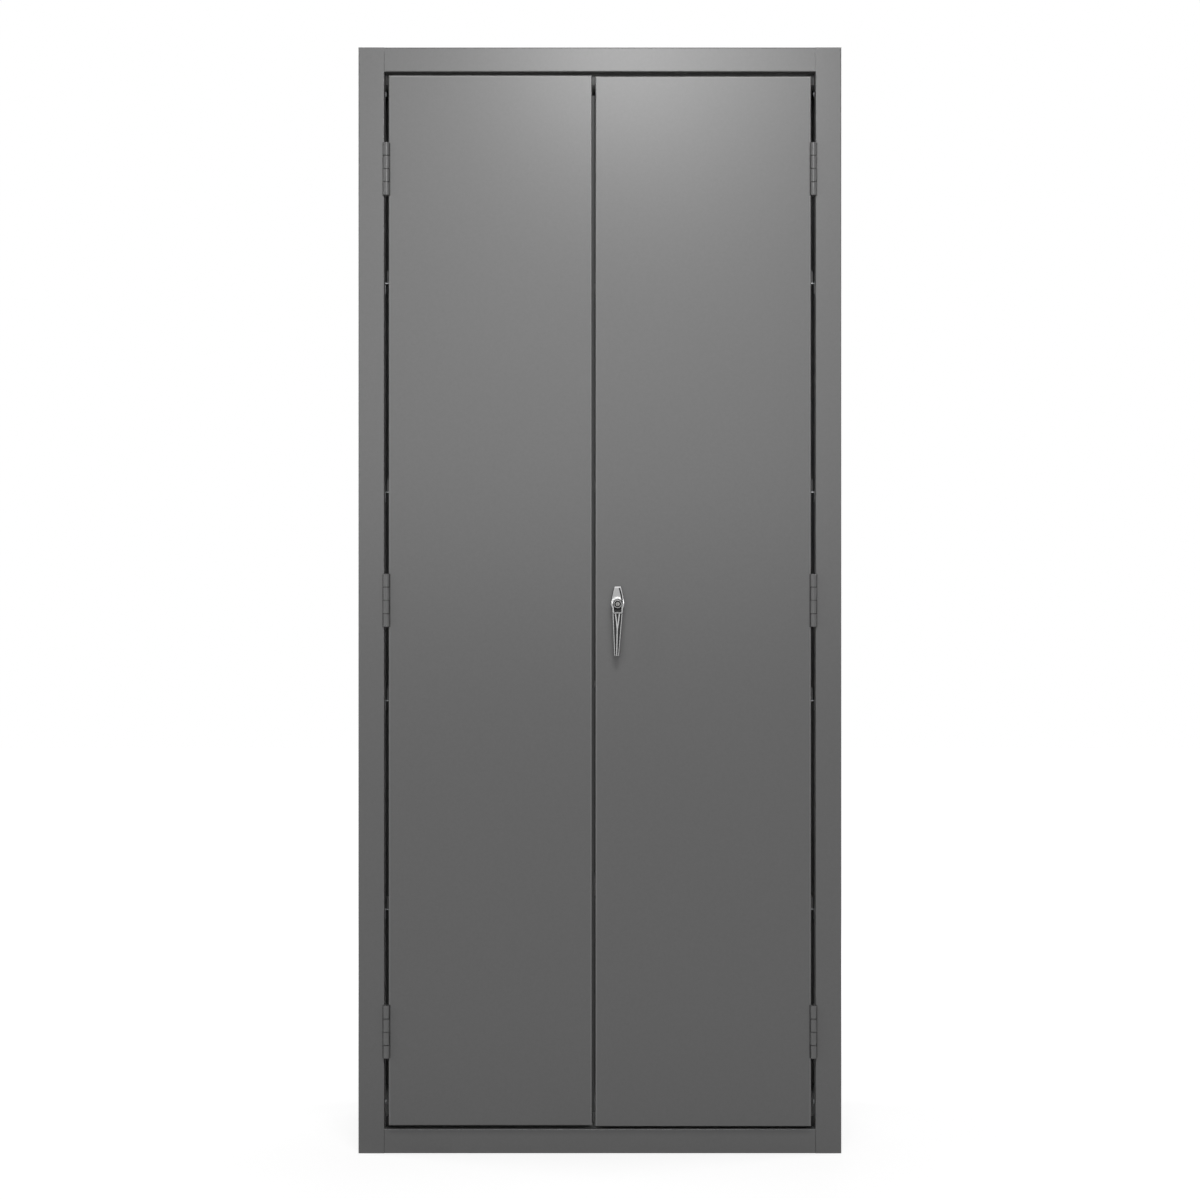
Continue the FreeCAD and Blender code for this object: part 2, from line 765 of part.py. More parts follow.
def lock_housing():
    """Lock cylinder housing: a ring on the hub's collar, dished in to the plug."""
    centre = (hub_x, hub_z)
    bore_radius = plug_radius + running_play
    ring = barrel(lock_ring_radius, "y", centre, (-lock_ring_front, -lock_ring_front + lock_ring_thickness))
    ring = rounded_face_edges(ring, "y", -lock_ring_front, lock_ring_round)
    body = barrel(lock_body_radius, "y", centre, (-lock_ring_front + lock_ring_thickness, -lock_body_back))
    front_centre = vec(hub_x, -lock_ring_front, hub_z)
    dish = Part.makeCone(dish_radius, bore_radius, dish_depth, front_centre, vec(0, 1, 0))
    bore_end = -lock_ring_front + plug_recess + plug_length + moving_gap
    bore = barrel(bore_radius, "y", centre, (-lock_ring_front - cut_overrun, bore_end))
    return joined([ring, body]).cut(dish).cut(bore)


def lock_plug():
    """Turning plug with its keyway."""
    front = -lock_ring_front + plug_recess
    plug = barrel(plug_radius, "y", (hub_x, hub_z), (front, front + plug_length))
    keyway = block(
        (hub_x - keyway_width / 2, hub_x + keyway_width / 2), (front - cut_overrun, front + keyway_depth),
        (hub_z - keyway_height / 2, hub_z + keyway_height / 2),
    )
    return plug.cut(keyway)


def spindle():
    """Shaft from the lever to the cam, with a square for the cam and a stud for its nut."""
    centre = (hub_x, hub_z)
    half = cam_square / 2
    return joined([
        barrel(spindle_radius, "y", centre, (-hub_back - spindle_seat, cam_front)),
        block((hub_x - half, hub_x + half), (cam_front, cam_back), (hub_z - half, hub_z + half)),
        barrel(stud_radius, "y", centre, (cam_back, nut_back + stud_overhang)),
    ])


def spiral_slot():
    """Slot whose radius shrinks steadily with its angle, so the rods move evenly with the handle."""
    half_width_of_slot = rod_pin_radius + moving_gap
    turn = math.radians(latch_turn)
    fall = latch_travel / turn

    def centre(angle):
        radius = pin_reach - fall * angle
        return vec(radius * math.sin(angle), 0, radius * math.cos(angle))

    def tangent(angle):
        radius = pin_reach - fall * angle
        slope = vec(
            radius * math.cos(angle) - fall * math.sin(angle), 0,
            -radius * math.sin(angle) - fall * math.cos(angle),
        )
        return slope.normalize()

    def edge_point(angle, side):
        along = tangent(angle)
        return centre(angle) + vec(along.z, 0, -along.x) * (side * half_width_of_slot)

    angles = [turn * index / (spiral_points - 1) for index in range(spiral_points)]
    outer = Part.BSplineCurve()
    outer.interpolate([edge_point(angle, 1) for angle in angles])
    inner = Part.BSplineCurve()
    inner.interpolate([edge_point(angle, -1) for angle in reversed(angles)])
    last_tip = centre(turn) + tangent(turn) * half_width_of_slot
    first_tip = centre(0) - tangent(0) * half_width_of_slot
    edges = [
        outer.toShape(),
        Part.Arc(edge_point(turn, 1), last_tip, edge_point(turn, -1)).toShape(),
        inner.toShape(),
        Part.Arc(edge_point(0, -1), first_tip, edge_point(0, 1)).toShape(),
    ]
    slot = Part.Face(Part.Wire(edges)).extrude(vec(0, cam_thickness + 2 * cut_overrun, 0))
    slot.translate(vec(hub_x, cam_front - cut_overrun, hub_z))
    return slot


def latch_cam():
    """Disc on the spindle with a spiral slot for each rod's pin."""
    centre = (hub_x, hub_z)
    cam = barrel(cam_radius, "y", centre, (cam_front, cam_back))
    half = cam_square / 2 + running_play
    cam = cam.cut(block((hub_x - half, hub_x + half), (cam_front - cut_overrun, cam_back + cut_overrun),
                        (hub_z - half, hub_z + half)))
    upper = spiral_slot()
    lower = upper.copy()
    lower.rotate(vec(hub_x, 0, hub_z), vec(0, 1, 0), half_turn)
    return cam.cut(upper).cut(lower)


def cam_washer():
    """Flat washer between the cam and its nut."""
    washer = barrel(washer_radius, "y", (hub_x, hub_z), (cam_back, washer_back))
    span = (cam_back - cut_overrun, washer_back + cut_overrun)
    return washer.cut(barrel(stud_radius + running_play, "y", (hub_x, hub_z), span))


def cam_nut():
    """Hexagon nut on the spindle's stud."""
    reach = nut_flats / 2 / math.cos(math.pi / nut_sides)
    angles = [2 * math.pi * index / nut_sides for index in range(nut_sides)]
    corners = [(hub_x + reach * math.cos(angle), hub_z + reach * math.sin(angle)) for angle in angles]
    nut = prism("y", corners, (washer_back, nut_back))
    span = (washer_back - cut_overrun, nut_back + cut_overrun)
    return nut.cut(barrel(stud_radius + running_play, "y", (hub_x, hub_z), span))


def latch_rod(upward):
    """Flat rod from the cam's slot to the stop at the top (upward +1) or the bottom (-1)."""
    tip = top_stop_edge - rod_tip_gap if upward > 0 else bottom_stop_edge + rod_tip_gap
    pin_z = hub_z + upward * pin_reach
    near_end = pin_z - upward * rod_end_margin
    shoulder = tip - upward * rod_tip_chamfer
    half = rod_width / 2
    corners = [
        (hub_x - half, near_end), (hub_x + half, near_end),
        (hub_x + half, shoulder), (hub_x + half - rod_tip_chamfer, tip),
        (hub_x - half + rod_tip_chamfer, tip), (hub_x - half, shoulder),
    ]
    bar = prism("y", corners, (rod_front, rod_back))
    pin = barrel(rod_pin_radius, "y", (hub_x, pin_z), (cam_front - rod_pin_overhang, rod_front))
    return joined([bar, pin])


def guide_heights():
    """Middle of the upper and the lower rod guide."""
    return {
        "upper": right_door_z[1] - door_lip - guide_from_end,
        "lower": right_door_z[0] + door_lip + guide_from_end,
    }


def rod_guide(centre_z):
    """Nylon block on the channel's crown with a window that the rod slides through."""
    z_span = (centre_z - guide_height / 2, centre_z + guide_height / 2)
    crown = door_thickness
    half = guide_width / 2
    foot_half = guide_foot_width / 2
    guide = joined([
        block((hub_x - half, hub_x + half), (crown, rod_back + moving_gap + guide_cap), z_span),
        block((hub_x - foot_half, hub_x + foot_half), (crown, crown + guide_foot), z_span),
    ])
    window_half = rod_width / 2 + moving_gap
    window_y = (rod_front - moving_gap, rod_back + moving_gap)
    window_z = (z_span[0] - cut_overrun, z_span[1] + cut_overrun)
    guide = guide.cut(block((hub_x - window_half, hub_x + window_half), window_y, window_z))
    for side in (-1, 1):
        centre = (hub_x + side * guide_screw_spacing / 2, centre_z)
        span = (crown - cut_overrun, crown + guide_foot + cut_overrun)
        guide = guide.cut(barrel(guide_screw_radius + hole_play, "y", centre, span))
    return guide


def guide_screws():
    """The four screws of the rod guides."""
    seat = door_thickness + guide_foot
    return [
        screw("y", (hub_x + side * guide_screw_spacing / 2, centre_z), seat, seat - guide_screw_length,
              screw_head_radius, screw_head_height, guide_screw_radius)
        for centre_z in guide_heights().values() for side in (-1, 1)
    ]


def write(node, shapes):
    """Moves one sub-part to the shared origin and writes it."""
    if not isinstance(shapes, list):
        shapes = [shapes]
    solids = [solid for shape in shapes for solid in shape.Solids]
    shape = solids[0] if len(solids) == 1 else Part.makeCompound(solids)
    shape = moved(shape, y=front_y)
    shape.exportStep("parts/" + node + ".step")
    print(node, len(solids), round(shape.Volume), shape.isValid())


def write_cabinet():
    """The standing body: walls, stops, uprights, clips and bumpers."""
    left = left_side_panel()
    right = mirrored(left)
    back = back_panel()
    write("left_side_panel", left)
    write("right_side_panel", right)
    write("back_panel", back)
    write("top_panel", top_panel([left, right, back]))
    write("bottom_panel", bottom_panel([left, right, back]))
    write("top_door_stop", door_stop(opening_top, -1))
    write("bottom_door_stop", bottom_door_stop())
    write("door_bumpers", door_bumpers())
    front_left = upright()
    rear_left = moved(front_left, y=rear_upright_y - front_upright_y)
    write("front_left_upright", front_left)
    write("front_right_upright", mirrored(front_left))
    write("rear_left_upright", rear_left)
    write("rear_right_upright", mirrored(rear_left))
    write("upright_bolts", upright_bolts())


def write_shelves():
    """Each shelf and the clips under it, counted from the floor."""
    for number in range(1, shelf_count + 1):
        write("shelf_%d" % number, shelf(number))
        write("shelf_%d_clips" % number, shelf_clips(number))


def write_hinges():
    """Three hinges a side. The top knuckle is the frame's on the left and the door's on the right."""
    for place, centre_z in hinge_zs.items():
        first, second = range(0, knuckle_count, 2), range(1, knuckle_count, 2)
        write("left_%s_frame_leaf" % place, hinge_leaf(first, False, centre_z))
        write("left_%s_door_leaf" % place, hinge_leaf(second, True, centre_z))
        write("right_%s_frame_leaf" % place, mirrored(hinge_leaf(second, False, centre_z)))
        write("right_%s_door_leaf" % place, mirrored(hinge_leaf(first, True, centre_z)))
    write("hinge_pins", hinge_pins())


def write_doors():
    """Both doors with what is fixed to them."""
    write("left_door_panel", tray((left_door_x, None, left_door_z), "y", 0, door_thickness, door_lip))
    write("left_door_stiffener", door_stiffener(left_door_x, left_door_z))
    write("meeting_strip", meeting_strip())
    write("right_door_panel", right_door_panel())
    write("right_door_stiffener", door_stiffener(right_door_x, right_door_z))
    write("latch_channel", latch_channel())
    write("handle_rose", handle_rose())
    write("rose_screws", rose_screws())
    write("spindle_bush", spindle_bush())
    for place, centre_z in guide_heights().items():
        write(place + "_rod_guide", rod_guide(centre_z))
    write("guide_screws", guide_screws())


def write_latch():
    """The handle, its lock, and the rods that it drives."""
    write("handle_lever", handle_lever())
    write("lock_housing", lock_housing())
    write("lock_plug", lock_plug())
    write("spindle", spindle())
    write("latch_cam", latch_cam())
    write("cam_washer", cam_washer())
    write("cam_nut", cam_nut())
    write("upper_latch_rod", latch_rod(1))
    write("lower_latch_rod", latch_rod(-1))


os.makedirs("parts", exist_ok=True)
write_cabinet()
write_shelves()
write_hinges()
write_doors()
write_latch()
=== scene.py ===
import json
import math
import bpy
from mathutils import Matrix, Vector


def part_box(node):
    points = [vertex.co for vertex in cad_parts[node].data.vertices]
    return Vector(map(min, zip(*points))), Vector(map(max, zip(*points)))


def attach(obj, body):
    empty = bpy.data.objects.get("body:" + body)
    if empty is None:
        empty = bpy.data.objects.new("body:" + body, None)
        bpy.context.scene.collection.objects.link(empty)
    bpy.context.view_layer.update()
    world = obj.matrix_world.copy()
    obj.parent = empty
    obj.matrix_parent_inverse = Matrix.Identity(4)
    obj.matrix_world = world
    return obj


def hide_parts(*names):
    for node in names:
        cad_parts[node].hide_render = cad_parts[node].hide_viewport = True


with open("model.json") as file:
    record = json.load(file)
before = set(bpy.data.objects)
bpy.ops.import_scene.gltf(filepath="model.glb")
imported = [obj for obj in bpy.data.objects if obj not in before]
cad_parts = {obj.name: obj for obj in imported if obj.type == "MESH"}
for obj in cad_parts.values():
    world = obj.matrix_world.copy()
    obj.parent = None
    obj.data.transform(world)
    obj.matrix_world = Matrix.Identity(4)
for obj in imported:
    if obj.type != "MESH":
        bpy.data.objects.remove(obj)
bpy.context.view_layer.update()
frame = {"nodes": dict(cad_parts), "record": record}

metre = 0.001                      # one millimetre in metres
print("frame loaded:", len(frame["nodes"]), "nodes")


# places taken from the frame

lockLow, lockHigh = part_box("lock_housing")
doorLow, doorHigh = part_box("right_door_panel")
bodyLow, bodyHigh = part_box("top_panel")
hubX = (lockLow[0] + lockHigh[0]) / 2
hubZ = (lockLow[2] + lockHigh[2]) / 2
faceY = doorLow[1]                 # the plane of the doors' front
cabinetTop = bodyHigh[2]
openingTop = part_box("top_door_stop")[1][2]
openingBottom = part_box("bottom_door_stop")[0][2]
hingeLevels = ("upper", "middle", "lower")
hingeBoxes = [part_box("left_%s_frame_leaf" % level) for level in hingeLevels]
hingeSpans = [(low[2], high[2]) for low, high in hingeBoxes]
hingeX = -(hingeBoxes[0][0][0] + hingeBoxes[0][1][0]) / 2


def clamp(value):
    return max(0.0, min(1.0, value))


def ease(low, high, value):
    share = clamp((value - low) / (high - low))
    return share * share * (3 - 2 * share)


def mixed(a, b, share):
    return a + (b - a) * share


def softMax(a, b, blend):
    share = clamp(0.5 + (a - b) / (2 * blend))
    return mixed(b, a, share) + blend * share * (1 - share)


# camera, straight at the middle of the front

cameraLook = {
    "distance": 6.0, "photoPixels": 1200, "pixelSize": 1.9295, "sensor": 36.0,
    "aside": 0.0002, "above": 0.0007,
}


def placeCamera(look):
    data = bpy.data.cameras.new("camera")
    data.sensor_width = look["sensor"]
    frameWidth = look["photoPixels"] * look["pixelSize"] * metre
    data.lens = look["sensor"] * look["distance"] / frameWidth
    camera = bpy.data.objects.new("camera", data)
    camera.location = (look["aside"], faceY - look["distance"], cabinetTop / 2 + look["above"])
    camera.rotation_euler = (math.radians(90), 0, 0)
    bpy.context.scene.collection.objects.link(camera)
    bpy.context.scene.camera = camera


placeCamera(cameraLook)
print("camera placed")


# shader maths written as plain expressions

class Wire:                        # one output socket that can be added, multiplied and so on
    def __init__(self, surface, socket):
        self.surface = surface
        self.socket = socket

    def __add__(self, other):
        return self.surface.maths("ADD", self, other)

    def __radd__(self, other):
        return self.surface.maths("ADD", other, self)

    def __sub__(self, other):
        return self.surface.maths("SUBTRACT", self, other)

    def __rsub__(self, other):
        return self.surface.maths("SUBTRACT", other, self)

    def __mul__(self, other):
        return self.surface.maths("MULTIPLY", self, other)

    def __rmul__(self, other):
        return self.surface.maths("MULTIPLY", other, self)

    def __abs__(self):
        return self.surface.maths("ABSOLUTE", self, 0.0)


class Surface:                     # a node tree with one method for every node
    def __init__(self, name, tree=None):
        if tree is None:
            self.material = bpy.data.materials.new(name)
            self.material.use_nodes = True
            tree = self.material.node_tree
        self.tree = tree
        self.tree.nodes.clear()

    def node(self, kind, settings=None, sockets=None, out=0):
        made = self.tree.nodes.new(kind)
        for name, value in (settings or {}).items():
            setattr(made, name, value)
        for name, value in (sockets or {}).items():
            if isinstance(value, Wire):
                self.tree.links.new(value.socket, made.inputs[name])
            else:
                made.inputs[name].default_value = value
        return Wire(self, made.outputs[out]) if len(made.outputs) else made

    def maths(self, operation, a, b):
        return self.node("ShaderNodeMath", {"operation": operation}, {0: a, 1: b})

    def place(self):
        return self.node("ShaderNodeTexCoord", out="Object")

    def part(self, vector, axis):
        return self.node("ShaderNodeSeparateXYZ", None, {0: vector}, out=axis)

    def noise(self, vector, scale, detail, roughness=0.5):
        # a dictionary gives a noise as its scale, its detail and sometimes its roughness
        sockets = {"Vector": vector, "Scale": scale, "Detail": detail, "Roughness": roughness}
        return self.node("ShaderNodeTexNoise", None, sockets, out="Fac")

    def stretched(self, vector, scale):
        return self.node("ShaderNodeVectorMath", {"operation": "MULTIPLY"}, {0: vector, 1: scale})

    def length(self, vector):
        return self.node("ShaderNodeVectorMath", {"operation": "LENGTH"}, {0: vector}, out="Value")

    def fade(self, value, low, high, start=0.0, end=1.0):
        settings = {"interpolation_type": "SMOOTHSTEP", "clamp": True}
        sockets = {"Value": value, "From Min": low, "From Max": high, "To Min": start, "To Max": end}
        return self.node("ShaderNodeMapRange", settings, sockets, out="Result")

    def across(self, noise, start, end):
        # from start to end over the part of its range that a noise mostly takes
        return self.fade(noise, 0.3, 0.7, start, end)

    def colour(self, share, a, b):
        return self.node("ShaderNodeMix", {"data_type": "RGBA"}, {0: share, 6: a, 7: b}, out=2)

    def attribute(self, name):
        return self.node("ShaderNodeAttribute", {"attribute_name": name}, out="Fac")

    def bump(self, height, distance, strength=1.0, normal=None):
        sockets = {"Height": height, "Distance": distance, "Strength": strength}
        if normal is not None:
            sockets["Normal"] = normal
        return self.node("ShaderNodeBump", None, sockets)

    def finish(self, sockets):
        shader = self.node("ShaderNodeBsdfPrincipled", None, sockets)
        self.node("ShaderNodeOutputMaterial", None, {"Surface": shader})
        return self.material


def grey(level, tint=(1.0, 1.0, 1.0)):
    return (level * tint[0], level * tint[1], level * tint[2], 1.0)


# grey powder coat on every sheet of the cabinet

coatLook = {
    "level": 0.185, "clouds": (1.6, 2.0), "spread": 0.006, "mottles": (210.0, 2.0), "mottling": 0.010,
    "roughLow": 0.285, "roughHigh": 0.305, "gloss": 0.5,
    "smudges": (2.5, 1.0), "smudgeShape": (1.0, 1.0, 0.5), "smudgeLow": 0.2, "smudgeHigh": 0.8,
    "peel": (420.0, 2.0), "peelDepth": 0.000016, "dimples": (130.0, 1.0), "dimpleDepth": 0.00004,
    # how far behind the doors' front the painted shade of the seams, hinge crevices and bottom rail still
    # shows, and the near-black grey that it darkens to
    "frontDepth": 0.004, "softness": 0.001, "paintedShadeLevel": 0.02,
    # the welded seams between rails and posts, which swing out at the top corners: painted shade along
    # them, with painted highlight on the upper right seam and the flared corners
    "seamX": 0.4161, "seamHalf": 0.0004, "seamFade": 0.0007, "seamDark": 0.4,
    "seamHighlight": 0.55, "seamHighlightGain": 1.5,
    "flareLow": 0.0145, "flareHigh": 0.0015, "flareReach": 0.005,
    # the hinges: painted shade in the crevices beside a barrel and in the joints between its knuckles
    "barrelCore": 0.0046, "barrelEdge": 0.0062, "lineStart": 0.0068, "lineEnd": 0.0086,
    "barrelDark": 0.8, "joinedSide": 0, "joinedFade": 0.65,
    "joints": ((0.25, 1.0), (0.5, 0.5), (0.75, 1.0)),
    "jointHalf": 0.0008, "jointFade": 0.0005, "jointDark": 0.75,
    # painted shade on the bottom rail
    "railReach": 0.016, "railFade": 0.0005, "railInset": 0.02, "railDark": 0.32,
    # a painted highlight on a door's folded edges
    "edges": None, "edgeReach": 0.0024, "edgeFade": 0.0012,
    "sideLight": 0.35, "topLight": 1.0, "edgeHighlightGain": 2.0,
    # painted shade on the ends of a door stop
    "endDark": 0.0, "endStart": 0.398, "endFull": 0.404, "endLevel": 0.01,
}


def nearPlace(skin, value, centre, half, fade):
    # 1 where a coordinate is within half of centre, easing to 0 over fade
    return 1 - skin.fade(abs(value - centre), half, half + fade)


def seamShade(skin, spot, look):
    # the welded joints between the rails and the posts: how much painted shade darkens them, and how much
    # painted highlight lightens them where they would catch the light
    height = skin.part(spot, "Z")
    flare = skin.fade(height, cabinetTop - look["flareLow"], cabinetTop - look["flareHigh"])
    steep = flare * flare * flare
    joint = steep * steep * look["flareReach"] + look["seamX"]
    across = skin.part(spot, "X")
    soft = look["softness"]
    line = nearPlace(skin, abs(across), joint, look["seamHalf"], look["seamFade"])
    upper = skin.fade(height, openingTop + soft, openingTop + 2 * soft)
    lower = 1 - skin.fade(height, openingBottom - 2 * soft, openingBottom - soft)
    rightSide = skin.fade(across, -soft, soft)
    paintedHighlight = line * upper * skin.maths("MAXIMUM", flare, rightSide)
    return (line * (upper + lower) - paintedHighlight) * look["seamDark"], paintedHighlight * look["seamHighlight"]


def barrelShade(skin, spot, look):
    # painted shade in the crevices beside each hinge barrel, fainter where a knuckle joins its own leaf,
    # and in the joints between its knuckles
    outward = abs(skin.part(spot, "X")) - hingeX
    away = abs(outward)
    band = skin.fade(away, look["barrelCore"], look["barrelEdge"])
    band = band * (1 - skin.fade(away, look["lineStart"], look["lineEnd"]))
    soft = look["softness"]
    if look["joinedSide"] != 0:
        joined = skin.fade(outward * look["joinedSide"], -soft, soft)
        band = band * (1 - joined * look["joinedFade"])
    height = skin.part(spot, "Z")
    heights = 0.0
    knuckleEnds = 0.0
    for low, high in hingeSpans:
        heights = nearPlace(skin, height, (low + high) / 2, (high - low) / 2, soft) + heights
        for share, darkness in look["joints"]:
            place = mixed(low, high, share)
            joint = nearPlace(skin, height, place, look["jointHalf"], look["jointFade"])
            knuckleEnds = joint * darkness + knuckleEnds
    barrel = 1 - skin.fade(away, look["barrelCore"], look["barrelEdge"])
    return band * heights * look["barrelDark"] + knuckleEnds * barrel * look["jointDark"]


def railShade(skin, spot, look):
    # painted shade: the bottom rail darkens towards its upper edge, close under the doors
    height = skin.part(spot, "Z")
    below = 1 - skin.fade(height, openingBottom, openingBottom + look["railFade"])
    between = 1 - skin.fade(abs(skin.part(spot, "X")), look["seamX"] - look["railInset"], look["seamX"])
    rising = skin.fade(height, openingBottom - look["railReach"], openingBottom)
    return rising * below * between * look["railDark"]


def paintedEdgeHighlight(skin, spot, look):
    # painted highlight: a door's folded edges are coloured lighter, most of all along the top, where they
    # would catch the lamps
    low, high = look["edges"]
    reach, fade = look["edgeReach"], look["edgeFade"]
    middle, half = (low[0] + high[0]) / 2, (high[0] - low[0]) / 2
    side = skin.fade(abs(skin.part(spot, "X") - middle), half - reach - fade, half - reach)
    top = skin.fade(skin.part(spot, "Z"), high[2] - reach - fade, high[2] - reach)
    return skin.maths("MAXIMUM", side * look["sideLight"], top * look["topLight"])


def powderCoat(name, look):
    skin = Surface(name)
    spot = skin.place()
    clouds = skin.noise(spot, *look["clouds"])
    mottles = skin.noise(spot, *look["mottles"])
    dark = grey(look["level"] - look["spread"] - look["mottling"])
    light = grey(look["level"] + look["spread"] + look["mottling"])
    share = look["mottling"] / (look["mottling"] + look["spread"])
    painted = skin.colour(clouds * (1 - share) + mottles * share, dark, light)
    frontEnd = faceY + look["frontDepth"]
    front = 1 - skin.fade(skin.part(spot, "Y"), frontEnd, frontEnd + look["softness"])
    seamDark, seamPaintedHighlight = seamShade(skin, spot, look)
    # painted shade from the seams, the hinge crevices and the bottom rail, kept to the front
    shade = (seamDark + barrelShade(skin, spot, look) + railShade(skin, spot, look)) * front
    # painted highlight on the seams, in a lighter grey of the same coat
    painted = skin.colour(seamPaintedHighlight * front, painted, grey(look["level"] * look["seamHighlightGain"]))
    # a painted highlight along the doors' folded edges
    if look["edges"]:
        highlightColour = grey(look["level"] * look["edgeHighlightGain"])
        painted = skin.colour(paintedEdgeHighlight(skin, spot, look), painted, highlightColour)
    # painted shade on a door stop's ends
    if look["endDark"]:
        ends = skin.fade(abs(skin.part(spot, "X")), look["endStart"], look["endFull"])
        painted = skin.colour(ends * look["endDark"], painted, grey(look["endLevel"]))
    smudges = skin.noise(skin.stretched(spot, look["smudgeShape"]), *look["smudges"])
    dimples = skin.bump(skin.noise(spot, *look["dimples"]), look["dimpleDepth"])
    peel = skin.noise(spot, *look["peel"])
    return skin.finish({
        # the painted shade darkens the coat towards a near-black grey
        "Base Color": skin.colour(shade, painted, grey(look["paintedShadeLevel"])),
        "Roughness": skin.fade(
            smudges, look["smudgeLow"], look["smudgeHigh"], look["roughLow"], look["roughHigh"]
        ),
        "Specular IOR Level": look["gloss"],
        "Normal": skin.bump(peel, look["peelDepth"], 1.0, dimples),
    })


# bright zinc plate on clips, rods and the cam, and a paler one on the uprights' bolts

zincLook = {
    "level": 0.56, "spread": 0.08, "tint": (0.97, 0.99, 1.02), "spangleScale": 190.0, "metal": 1.0,
    "dull": (60.0, 4.0), "roughLow": 0.28, "roughHigh": 0.46,
    "scratches": (900.0, 2.0), "scratchShape": (1.0, 1.0, 0.06),
    "scratchDepth": 0.00002, "scratchStrength": 0.6,
}
boltLook = dict(zincLook, level=0.85, metal=0.2)


def zincPlate(name, look):
    skin = Surface(name)
    spot = skin.place()
    cells = {"Vector": spot, "Scale": look["spangleScale"]}
    spangle = skin.node("ShaderNodeTexVoronoi", None, cells, out="Color")
    flakes = skin.node("ShaderNodeSeparateColor", None, {0: spangle}, out=0)
    dull = skin.noise(spot, *look["dull"])
    scratches = skin.noise(skin.stretched(spot, look["scratchShape"]), *look["scratches"])
    dark = grey(look["level"] - look["spread"], look["tint"])
    light = grey(look["level"] + look["spread"], look["tint"])
    return skin.finish({
        "Base Color": skin.colour(flakes, dark, light),
        "Metallic": look["metal"],
        "Roughness": skin.across(dull, look["roughLow"], look["roughHigh"]),
        "Normal": skin.bump(scratches, look["scratchDepth"], look["scratchStrength"]),
    })


# chrome plate on the cast lever, dull and dark in its hollows, where the darkness is partly painted
# shade, and lighter on its tail's cap and right rim as painted highlight

chromeLook = {
    "level": 0.75, "dullLevel": 0.25, "hollowLevel": 0.035,
    "rough": 0.17, "hollowRough": 0.5, "tailRough": 0.3, "haze": (120.0, 4.0), "hazeSpread": 0.07,
    "grain": (1100.0, 3.0, 0.6), "grainDepth": 0.00006, "hollowGrain": 0.6, "plainGrain": 0.03,
    "speckle": 0.45, "speckleLow": 0.35, "speckleHigh": 0.65,
}


def castChrome(name, look):
    skin = Surface(name)
    spot = skin.place()
    hollow = skin.attribute("hollow")
    blasted = skin.attribute("blasted")
    grain = skin.noise(spot, *look["grain"])
    haze = skin.noise(spot, *look["haze"])
    # the polish share is a real finish on the tail's face and painted highlight on its cap and right rim
    plated = skin.colour(skin.attribute("polish"), grey(look["dullLevel"]), grey(look["level"]))
    speckle = skin.fade(grain, look["speckleLow"], look["speckleHigh"]) * blasted * look["speckle"]
    rough = skin.across(haze, look["rough"], look["rough"] + look["hazeSpread"])
    rough = rough + hollow * (look["hollowRough"] - look["rough"])
    rough = rough + blasted * (look["tailRough"] - look["rough"])
    dimmed = skin.colour(speckle, plated, grey(look["dullLevel"]))
    return skin.finish({
        "Base Color": skin.colour(hollow, dimmed, grey(look["hollowLevel"])),
        "Metallic": 1.0,
        "Roughness": rough,
        "Normal": skin.bump(
            grain * (blasted + hollow * look["hollowGrain"] + look["plainGrain"]), look["grainDepth"]
        ),
    })


# the lock: a bright ring round a dull dish coloured near-black as painted shade, and the turned face of
# its plug

lockLook = {
    "level": 0.26, "brighter": 1.15, "dishShadeLevel": 0.028, "dishRadius": 6.1, "rimWidth": 0.4,
    "rough": 0.16, "dishRough": 0.34, "tarnish": 0.06,
    "haze": (260.0, 4.0), "hazeDepth": 0.00001, "hazeStrength": 0.5,
}


def hubRadius(skin, spot):
    hub = (hubX, 0.0, hubZ)
    centred = skin.node("ShaderNodeVectorMath", {"operation": "SUBTRACT"}, {0: spot, 1: hub})
    return skin.length(skin.stretched(centred, (1.0, 0.0, 1.0)))


def ringChrome(name, look):
    skin = Surface(name)
    spot = skin.place()
    haze = skin.noise(spot, *look["haze"])
    rim = look["dishRadius"] * metre
    outside = skin.fade(hubRadius(skin, spot), rim, rim + look["rimWidth"] * metre)
    plated = skin.colour(haze, grey(look["level"]), grey(look["level"] * look["brighter"]))
    tarnish = skin.across(haze, 0.0, look["tarnish"])
    return skin.finish({
        # painted shade: inside the rim the dish is near-black
        "Base Color": skin.colour(outside, grey(look["dishShadeLevel"]), plated),
        "Metallic": 1.0,
        "Roughness": tarnish + look["dishRough"] - outside * (look["dishRough"] - look["rough"]),
        "Normal": skin.bump(haze, look["hazeDepth"], look["hazeStrength"]),
    })


plugLook = {
    "level": 0.2, "wornShare": 0.8, "tint": (1.0, 0.99, 0.96),
    "wear": (700.0, 3.0), "roughLow": 0.2, "roughHigh": 0.34,
    "ringsPerMetre": 2600.0, "ringDepth": 0.00001, "ringStrength": 0.5,
}


def turnedPlug(name, look):
    skin = Surface(name)
    spot = skin.place()
    rings = skin.maths("SINE", hubRadius(skin, spot) * (look["ringsPerMetre"] * 2 * math.pi), 0.0)
    wear = skin.noise(spot, *look["wear"])
    worn = grey(look["level"] * look["wornShare"], look["tint"])
    return skin.finish({
        "Base Color": skin.colour(wear, worn, grey(look["level"], look["tint"])),
        "Metallic": 1.0,
        "Roughness": skin.across(wear, look["roughLow"], look["roughHigh"]),
        "Normal": skin.bump(rings, look["ringDepth"], look["ringStrength"]),
    })


